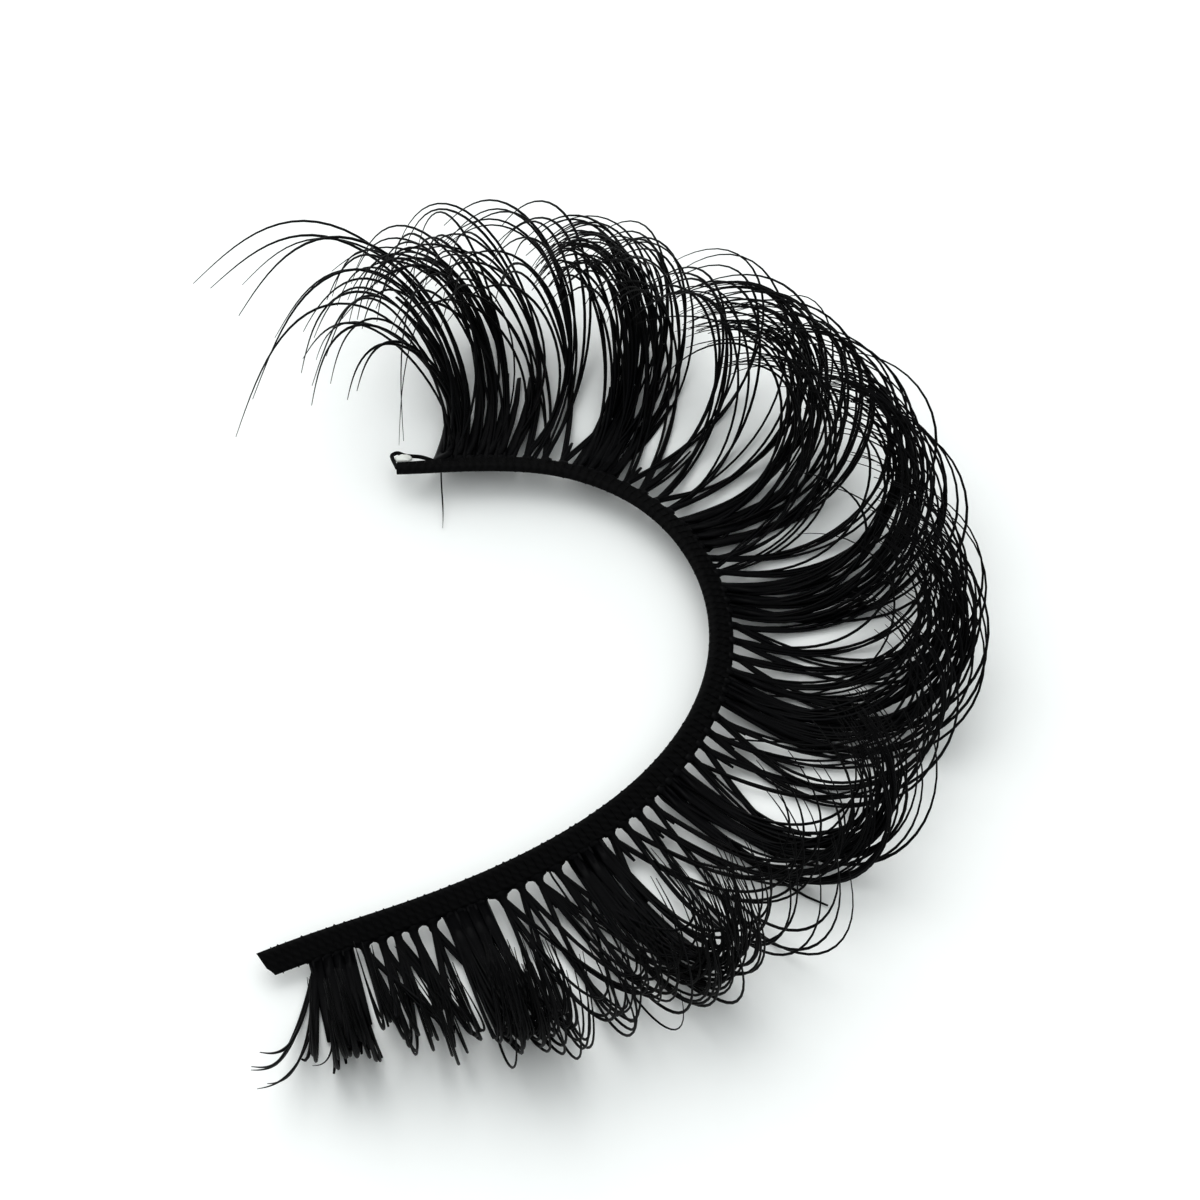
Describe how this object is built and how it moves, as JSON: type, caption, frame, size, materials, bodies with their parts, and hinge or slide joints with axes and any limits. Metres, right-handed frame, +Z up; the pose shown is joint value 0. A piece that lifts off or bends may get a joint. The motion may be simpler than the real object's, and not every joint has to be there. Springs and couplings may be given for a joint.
{
  "type": "false eyelash strip",
  "caption": "Curled black false eyelash strip: a stiff band bent to the curve of the lid, with dense tufts and sparser fans of tapered fibres along its outer edge.",
  "frame": {"origin": "middle of the strip's footprint, on the table that it lies on", "axes": "+Z up from the table, the open side of the C towards -X, the inner corner of the eye at -Y and the outer corner at +Y"},
  "size_m": [0.0234, 0.0324, 0.0078],
  "materials": {
    "band_thread": "cotton thread soaked in dried black glue, satin",
    "lash_fibre": "semi-gloss drawn synthetic fibre, tapered to fine tips"
  },
  "bodies": {
    "root": {"band": "band_thread", "lash_fan_01": "lash_fibre", "lash_fan_02": "lash_fibre", "lash_fan_03": "lash_fibre", "lash_fan_04": "lash_fibre", "lash_fan_05": "lash_fibre", "lash_fan_06": "lash_fibre", "lash_fan_07": "lash_fibre", "lash_fan_08": "lash_fibre", "lash_tuft_01": "lash_fibre", "lash_tuft_02": "lash_fibre", "lash_tuft_03": "lash_fibre", "lash_tuft_04": "lash_fibre", "lash_tuft_05": "lash_fibre", "lash_tuft_06": "lash_fibre", "lash_tuft_07": "lash_fibre", "lash_tuft_08": "lash_fibre", "lash_tuft_09": "lash_fibre"}
  },
  "joints": []
}
